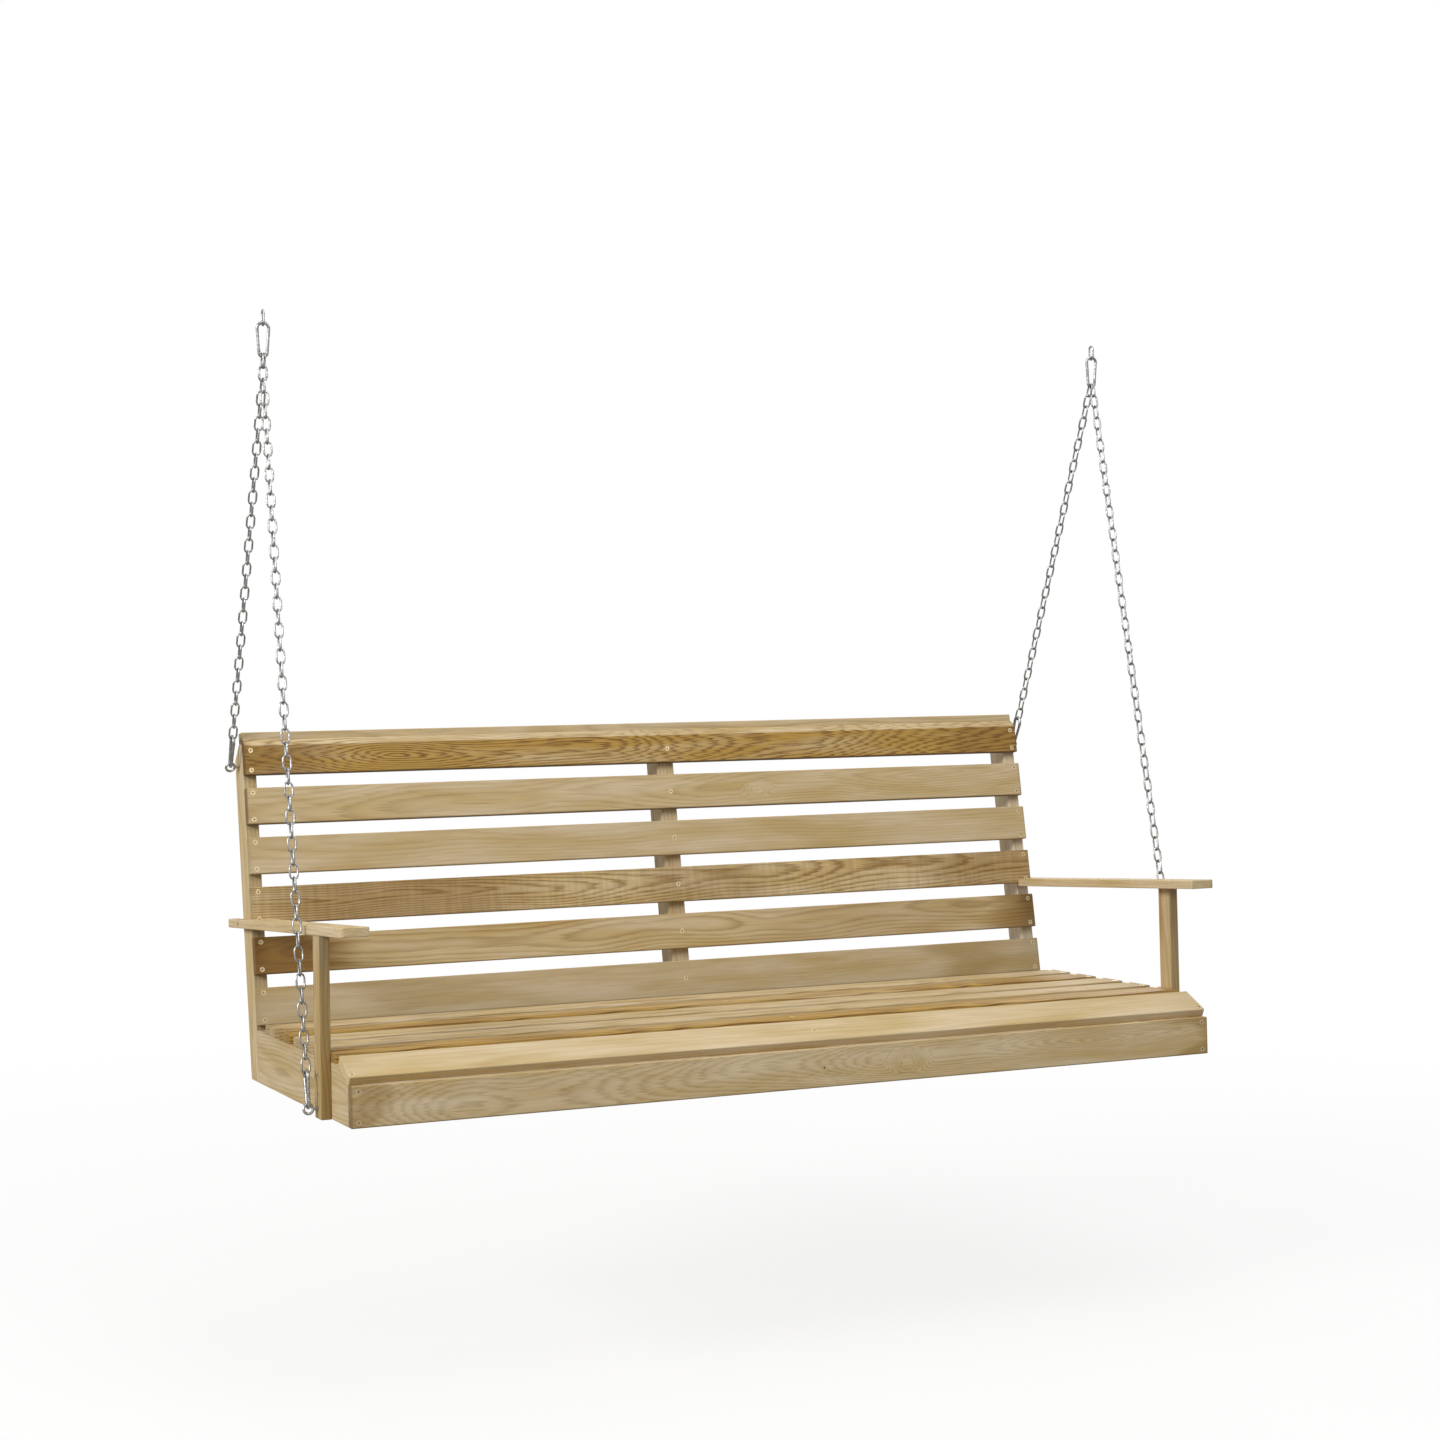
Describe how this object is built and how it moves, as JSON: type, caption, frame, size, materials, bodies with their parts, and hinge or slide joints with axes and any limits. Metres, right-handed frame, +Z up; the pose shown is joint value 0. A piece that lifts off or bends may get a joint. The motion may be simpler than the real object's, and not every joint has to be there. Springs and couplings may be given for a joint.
{
  "type": "garden swing seat",
  "caption": "Slatted pine bench with backrest and armrests that hangs from chains, snap hooks and screw eyes and swings fore and aft.",
  "frame": {"origin": "the middle of the hang axis, the line through the head wires of both upper snap hooks, where they bear in the hang links", "axes": "+X to the right along the bench for someone who looks at its front, +Y from the front to the back of the seat, +Z up"},
  "size_m": [1.539, 0.6757, 1.2287],
  "materials": {
    "pine": "matte",
    "galvanised_steel": "satin",
    "yellow_zinc": "satin"
  },
  "bodies": {
    "hanger": {"left_hang_link": "galvanised_steel", "right_hang_link": "galvanised_steel"},
    "left_front_gate_bar": {"left_front_gate": "galvanised_steel", "left_front_gate_spring": "galvanised_steel"},
    "left_rear_gate_bar": {"left_rear_gate": "galvanised_steel", "left_rear_gate_spring": "galvanised_steel"},
    "left_upper_gate_bar": {"left_upper_gate": "galvanised_steel", "left_upper_gate_spring": "galvanised_steel"},
    "right_front_gate_bar": {"right_front_gate": "galvanised_steel", "right_front_gate_spring": "galvanised_steel"},
    "right_rear_gate_bar": {"right_rear_gate": "galvanised_steel", "right_rear_gate_spring": "galvanised_steel"},
    "right_upper_gate_bar": {"right_upper_gate": "galvanised_steel", "right_upper_gate_spring": "galvanised_steel"},
    "seat": {"armrest_screws": "yellow_zinc", "back_slat_1": "pine", "back_slat_2": "pine", "back_slat_3": "pine", "back_slat_4": "pine", "back_slat_5": "pine", "back_slat_6": "pine", "back_slat_screws": "yellow_zinc", "centre_seat_rail": "pine", "centre_upright": "pine", "frame_screws": "yellow_zinc", "front_apron": "pine", "front_edge_screws": "yellow_zinc", "front_edge_slat": "pine", "hook_rivets": "galvanised_steel", "left_arm_post": "pine", "left_armrest": "pine", "left_front_chain": "galvanised_steel", "left_front_eye": "galvanised_steel", "left_front_hook": "galvanised_steel", "left_rear_chain": "galvanised_steel", "left_rear_eye": "galvanised_steel", "left_rear_hook": "galvanised_steel", "left_seat_rail": "pine", "left_upper_hook": "galvanised_steel", "left_upright": "pine", "right_arm_post": "pine", "right_armrest": "pine", "right_front_chain": "galvanised_steel", "right_front_eye": "galvanised_steel", "right_front_hook": "galvanised_steel", "right_rear_chain": "galvanised_steel", "right_rear_eye": "galvanised_steel", "right_rear_hook": "galvanised_steel", "right_seat_rail": "pine", "right_upper_hook": "galvanised_steel", "right_upright": "pine", "seat_slat_1": "pine", "seat_slat_2": "pine", "seat_slat_3": "pine", "seat_slat_4": "pine", "seat_slat_5": "pine", "seat_slat_screws": "yellow_zinc", "top_rail": "pine"}
  },
  "joints": [
    {"name": "swing", "type": "hinge", "parent": "hanger", "child": "seat", "pos_m": [0, 0, 0], "axis": [1, 0, 0], "range_deg": [-25, 25]},
    {"name": "left_front_gate_hinge", "type": "hinge", "parent": "seat", "child": "left_front_gate_bar", "pos_m": [-0.76045, -0.26892, -1.16239], "axis": [1, -0.0002, -0.0042], "range_deg": [-22, 0], "stiffness_Nm_per_rad": 0.15, "springref_deg": 8.59},
    {"name": "left_rear_gate_hinge", "type": "hinge", "parent": "seat", "child": "left_rear_gate_bar", "pos_m": [-0.7446, 0.25481, -0.69594], "axis": [0.9999, 0.0004, 0.0121], "range_deg": [-22, 0], "stiffness_Nm_per_rad": 0.15, "springref_deg": 8.59},
    {"name": "left_upper_gate_hinge", "type": "hinge", "parent": "seat", "child": "left_upper_gate_bar", "pos_m": [-0.76082, 0, -0.04238], "axis": [0, -1, 0], "range_deg": [-22, 0], "stiffness_Nm_per_rad": 0.15, "springref_deg": 8.59},
    {"name": "right_front_gate_hinge", "type": "hinge", "parent": "seat", "child": "right_front_gate_bar", "pos_m": [0.76045, -0.26892, -1.16239], "axis": [1, 0.0002, 0.0042], "range_deg": [-22, 0], "stiffness_Nm_per_rad": 0.15, "springref_deg": 8.59},
    {"name": "right_rear_gate_hinge", "type": "hinge", "parent": "seat", "child": "right_rear_gate_bar", "pos_m": [0.7446, 0.25481, -0.69594], "axis": [0.9999, -0.0004, -0.0121], "range_deg": [-22, 0], "stiffness_Nm_per_rad": 0.15, "springref_deg": 8.59},
    {"name": "right_upper_gate_hinge", "type": "hinge", "parent": "seat", "child": "right_upper_gate_bar", "pos_m": [0.76082, 0, -0.04238], "axis": [0, 1, 0], "range_deg": [-22, 0], "stiffness_Nm_per_rad": 0.15, "springref_deg": 8.59}
  ]
}
